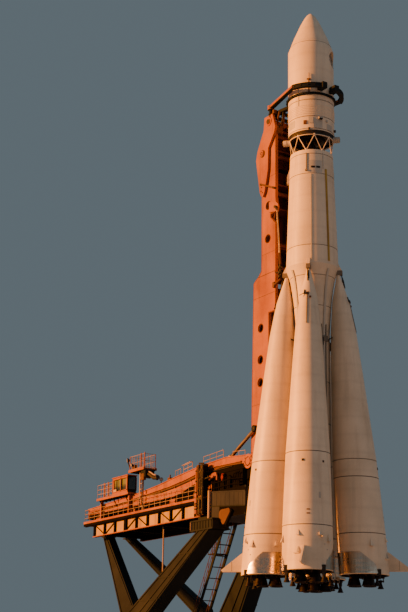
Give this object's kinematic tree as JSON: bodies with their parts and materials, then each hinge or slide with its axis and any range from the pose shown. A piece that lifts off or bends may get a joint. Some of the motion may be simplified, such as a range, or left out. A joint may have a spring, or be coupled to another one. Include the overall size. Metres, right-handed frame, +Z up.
{
  "type": "space rocket on its erector, 1:2 scale model",
  "caption": "Three-stage rocket with strap-on boosters, held upright by the hinged boom of a raised steel platform on V-shaped legs.",
  "frame": {"origin": "middle of the footprint, on the floor that the footings stand on", "axes": "+X from the platform towards the rocket, +Y across the platform, +Z up along the rocket"},
  "size_m": [14.9224, 4.8, 22.15],
  "materials": {
    "white_paint": "weathered off-white paint",
    "bare_metal": "bare ribbed sheet metal, slightly dull",
    "dark_engine": "dark heat-stained steel",
    "orange_steel": "orange-brown oxide paint",
    "golden_paint": "yellow ochre paint",
    "rod_steel": "polished rod",
    "grey_steel": "grey paint",
    "footing_grey": "grey coating over the footing",
    "dark_steel": "dark grey paint",
    "cabin_glass": "green-tinted glass"
  },
  "bodies": {
    "platform": {"frame_beams": "orange_steel", "deck": "orange_steel", "side_girder_left": "orange_steel", "side_girder_right": "orange_steel", "pedestal": "grey_steel", "cabin": "grey_steel", "cabin_glass": "cabin_glass", "high_platform": "orange_steel", "near_leg_left": "dark_steel", "far_leg_left": "dark_steel", "footing_left": "footing_grey", "near_leg_right": "dark_steel", "far_leg_right": "dark_steel", "footing_right": "footing_grey", "access_stair": "dark_steel"},
    "boom_and_rocket": {"fairing_nose": "white_paint", "fairing_shroud": "white_paint", "hatch_cover": "dark_engine", "third_stage": "white_paint", "third_stage_engine": "dark_engine", "interstage_truss": "white_paint", "core_upper": "white_paint", "core_lower": "white_paint", "core_tail": "bare_metal", "core_engine": "dark_engine", "booster_a_tank": "white_paint", "booster_a_tail": "bare_metal", "booster_a_engine": "dark_engine", "booster_b_tank": "white_paint", "booster_b_tail": "bare_metal", "booster_b_engine": "dark_engine", "booster_c_tank": "white_paint", "booster_c_tail": "bare_metal", "booster_c_engine": "dark_engine", "booster_d_tank": "white_paint", "booster_d_tail": "bare_metal", "booster_d_engine": "dark_engine", "boom_lower": "orange_steel", "boom_upper": "orange_steel", "boom_head": "orange_steel", "clamp_ring": "dark_steel"},
    "jaw_left": {"jaw_left": "orange_steel"},
    "jaw_right": {"jaw_right": "orange_steel"},
    "cylinder_barrel_left": {"cylinder_barrel_left": "golden_paint"},
    "cylinder_rod_left": {"cylinder_rod_left": "rod_steel"},
    "cylinder_barrel_right": {"cylinder_barrel_right": "golden_paint"},
    "cylinder_rod_right": {"cylinder_rod_right": "rod_steel"},
    "core_vernier_1": {"core_vernier_1": "dark_engine"},
    "core_vernier_2": {"core_vernier_2": "dark_engine"},
    "core_vernier_3": {"core_vernier_3": "dark_engine"},
    "core_vernier_4": {"core_vernier_4": "dark_engine"},
    "booster_a_vernier_1": {"booster_a_vernier_1": "dark_engine"},
    "booster_a_vernier_2": {"booster_a_vernier_2": "dark_engine"},
    "booster_b_vernier_1": {"booster_b_vernier_1": "dark_engine"},
    "booster_b_vernier_2": {"booster_b_vernier_2": "dark_engine"},
    "booster_c_vernier_1": {"booster_c_vernier_1": "dark_engine"},
    "booster_c_vernier_2": {"booster_c_vernier_2": "dark_engine"},
    "booster_d_vernier_1": {"booster_d_vernier_1": "dark_engine"},
    "booster_d_vernier_2": {"booster_d_vernier_2": "dark_engine"}
  },
  "joints": [
    {"name": "boom_raise", "type": "hinge", "parent": "platform", "child": "boom_and_rocket", "pos_m": [3.31373, 0, 7.2], "axis": [0, -1, 0], "range_deg": [0, 90]},
    {"name": "jaw_left_swing", "type": "hinge", "parent": "boom_and_rocket", "child": "jaw_left", "pos_m": [4.06373, -0.65, 19.05], "axis": [0, 0, -1], "range_deg": [0, 55]},
    {"name": "jaw_right_swing", "type": "hinge", "parent": "boom_and_rocket", "child": "jaw_right", "pos_m": [4.06373, 0.65, 19.05], "axis": [0, 0, 1], "range_deg": [0, 55]},
    {"name": "cylinder_left_tilt", "type": "hinge", "parent": "platform", "child": "cylinder_barrel_left", "pos_m": [-0.01127, -0.68268, 6.55], "axis": [0, -1, 0], "range_deg": [-12.3, 0]},
    {"name": "cylinder_left_stroke", "type": "slide", "parent": "cylinder_barrel_left", "child": "cylinder_rod_left", "axis": [0.8862, 0, 0.4633], "range_m": [-1.393, 0]},
    {"name": "cylinder_right_tilt", "type": "hinge", "parent": "platform", "child": "cylinder_barrel_right", "pos_m": [-0.01127, 0.68268, 6.55], "axis": [0, -1, 0], "range_deg": [-12.3, 0]},
    {"name": "cylinder_right_stroke", "type": "slide", "parent": "cylinder_barrel_right", "child": "cylinder_rod_right", "axis": [0.8862, 0, 0.4633], "range_m": [-1.393, 0]},
    {"name": "core_vernier_1_swivel", "type": "hinge", "parent": "boom_and_rocket", "child": "core_vernier_1", "pos_m": [6.23873, 0, 3.46], "axis": [1, 0, 0], "range_deg": [-35, 35]},
    {"name": "core_vernier_2_swivel", "type": "hinge", "parent": "boom_and_rocket", "child": "core_vernier_2", "pos_m": [5.43873, 0.8, 3.46], "axis": [0, 1, 0], "range_deg": [-35, 35]},
    {"name": "core_vernier_3_swivel", "type": "hinge", "parent": "boom_and_rocket", "child": "core_vernier_3", "pos_m": [4.63873, 0, 3.46], "axis": [-1, 0, 0], "range_deg": [-35, 35]},
    {"name": "core_vernier_4_swivel", "type": "hinge", "parent": "boom_and_rocket", "child": "core_vernier_4", "pos_m": [5.43873, -0.8, 3.46], "axis": [0, -1, 0], "range_deg": [-35, 35]},
    {"name": "booster_a_vernier_1_swivel", "type": "hinge", "parent": "boom_and_rocket", "child": "booster_a_vernier_1", "pos_m": [6.40393, -1.71473, 3.46], "axis": [0.7071, -0.7071, 0], "range_deg": [-35, 35]},
    {"name": "booster_a_vernier_2_swivel", "type": "hinge", "parent": "boom_and_rocket", "child": "booster_a_vernier_2", "pos_m": [7.15347, -0.9652, 3.46], "axis": [0.7071, -0.7071, 0], "range_deg": [-35, 35]},
    {"name": "booster_b_vernier_1_swivel", "type": "hinge", "parent": "boom_and_rocket", "child": "booster_b_vernier_1", "pos_m": [7.15347, 0.9652, 3.46], "axis": [0.7071, 0.7071, 0], "range_deg": [-35, 35]},
    {"name": "booster_b_vernier_2_swivel", "type": "hinge", "parent": "boom_and_rocket", "child": "booster_b_vernier_2", "pos_m": [6.40393, 1.71473, 3.46], "axis": [0.7071, 0.7071, 0], "range_deg": [-35, 35]},
    {"name": "booster_c_vernier_1_swivel", "type": "hinge", "parent": "boom_and_rocket", "child": "booster_c_vernier_1", "pos_m": [4.47353, 1.71473, 3.46], "axis": [-0.7071, 0.7071, 0], "range_deg": [-35, 35]},
    {"name": "booster_c_vernier_2_swivel", "type": "hinge", "parent": "boom_and_rocket", "child": "booster_c_vernier_2", "pos_m": [3.724, 0.9652, 3.46], "axis": [-0.7071, 0.7071, 0], "range_deg": [-35, 35]},
    {"name": "booster_d_vernier_1_swivel", "type": "hinge", "parent": "boom_and_rocket", "child": "booster_d_vernier_1", "pos_m": [3.724, -0.9652, 3.46], "axis": [-0.7071, -0.7071, 0], "range_deg": [-35, 35]},
    {"name": "booster_d_vernier_2_swivel", "type": "hinge", "parent": "boom_and_rocket", "child": "booster_d_vernier_2", "pos_m": [4.47353, -1.71473, 3.46], "axis": [-0.7071, -0.7071, 0], "range_deg": [-35, 35]}
  ],
  "couplings": [
    {"joint": "cylinder_left_tilt", "follows": "boom_raise", "ratio": -0.13415},
    {"joint": "cylinder_left_stroke", "follows": "boom_raise", "m_per_rad": -0.88392},
    {"joint": "cylinder_right_tilt", "follows": "boom_raise", "ratio": -0.13415},
    {"joint": "cylinder_right_stroke", "follows": "boom_raise", "m_per_rad": -0.88392}
  ]
}
